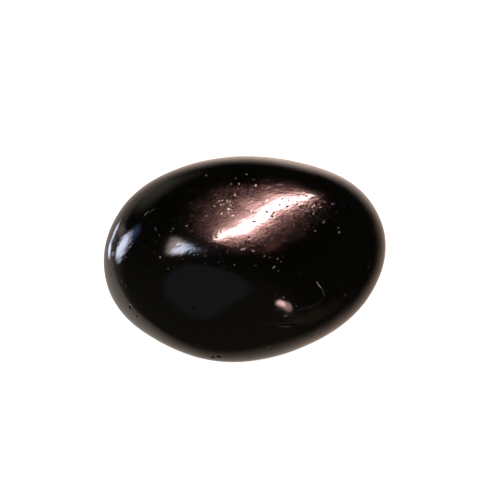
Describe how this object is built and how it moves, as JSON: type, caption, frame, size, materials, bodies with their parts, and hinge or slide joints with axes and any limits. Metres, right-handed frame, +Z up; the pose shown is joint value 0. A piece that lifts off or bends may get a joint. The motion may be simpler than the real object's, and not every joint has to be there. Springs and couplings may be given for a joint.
{
  "type": "massage stone",
  "caption": "Palm-sized polished basalt pebble, an uneven oval with softly worn flats, warmed or chilled and rubbed or rested on the body in massage.",
  "frame": {"origin": "on the resting flat, below the middle of the stone's bounding box", "axes": "+X along the stone's length, +Y across its width, +Z up through its crown"},
  "size_m": [0.0806, 0.0584, 0.0369],
  "materials": {
    "basalt": "dark basalt polished and oiled to a wet gloss, with fine pits and hairline scratches"
  },
  "bodies": {
    "root": {"massage_stone": "basalt"}
  },
  "joints": []
}
